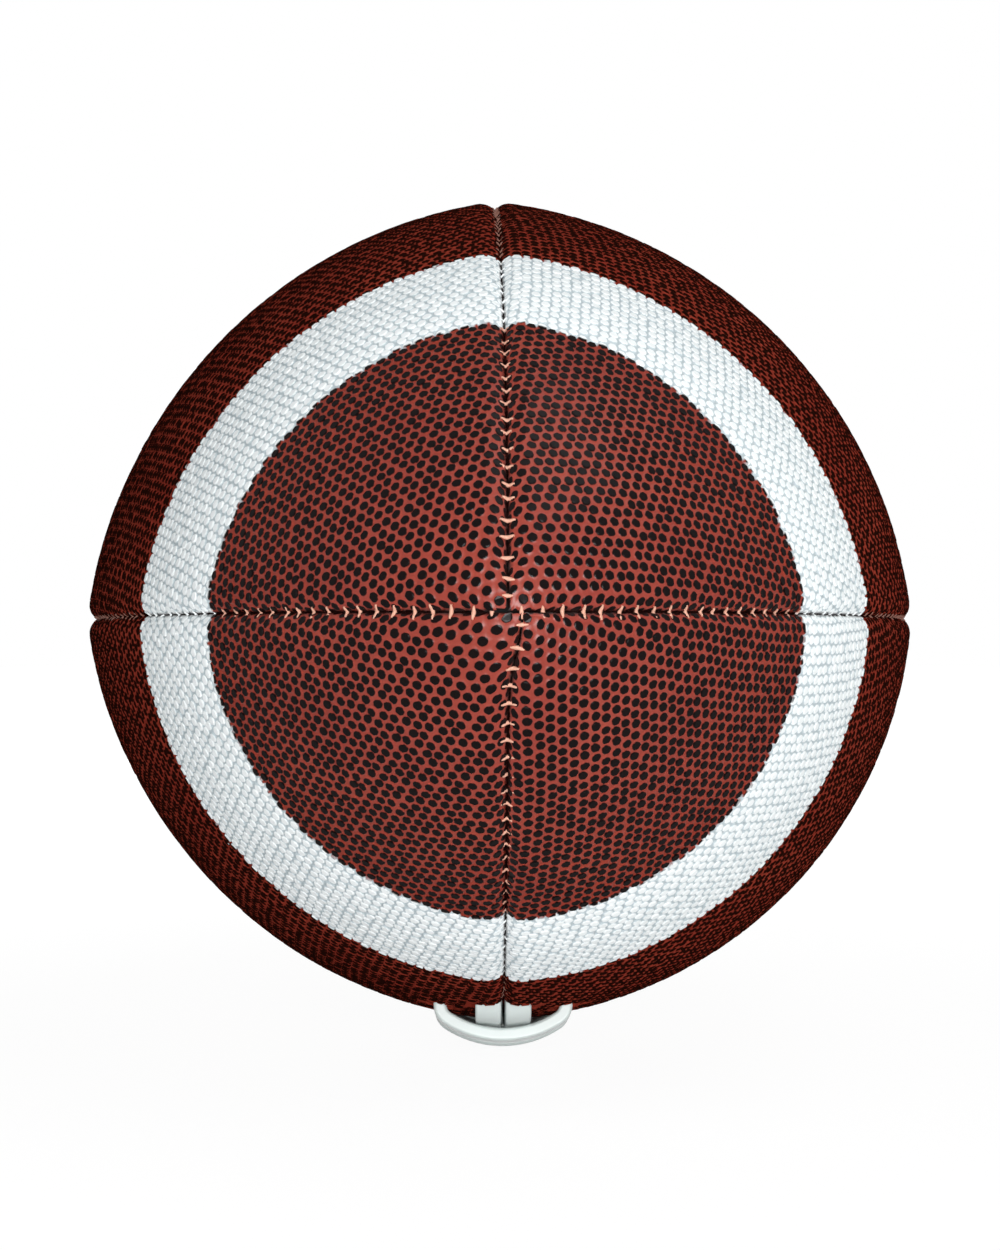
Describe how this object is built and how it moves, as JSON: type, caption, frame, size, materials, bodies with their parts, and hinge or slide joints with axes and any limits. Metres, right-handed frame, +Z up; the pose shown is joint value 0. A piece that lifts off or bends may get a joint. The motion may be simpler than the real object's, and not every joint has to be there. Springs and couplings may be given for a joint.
{
  "type": "american football",
  "caption": "Pointed oval ball of sewn pebbled leather panels with white stripes and a raised white lace, around an inflatable bladder with a needle valve.",
  "frame": {"origin": "on the surface under the middle of the ball, at the lowest point of the lace", "axes": "+Y along the long axis away from the nose that the picture shows, +Z up, away from the lace, +X to the right in the picture"},
  "size_m": [0.1694, 0.2816, 0.1753],
  "materials": {
    "leather": "pebbled, satin",
    "lining": "woven",
    "bladder": "matte",
    "valve": "matte",
    "lace": "gloss",
    "thread": "waxed"
  },
  "bodies": {
    "root": {"panel_upper_right": "leather", "panel_upper_left": "leather", "panel_lower_right": "leather", "panel_lower_left": "leather", "lining_upper_right": "lining", "lining_upper_left": "lining", "lining_lower_right": "lining", "lining_lower_left": "lining", "lace_facing_right": "lining", "lace_facing_left": "lining", "bladder_guard": "lining", "bladder": "bladder", "valve_body": "valve", "valve_plug": "valve", "lace": "lace", "seam_thread_top": "thread", "seam_thread_left": "thread", "seam_thread_right": "thread", "seam_thread_lace": "thread"}
  },
  "joints": []
}
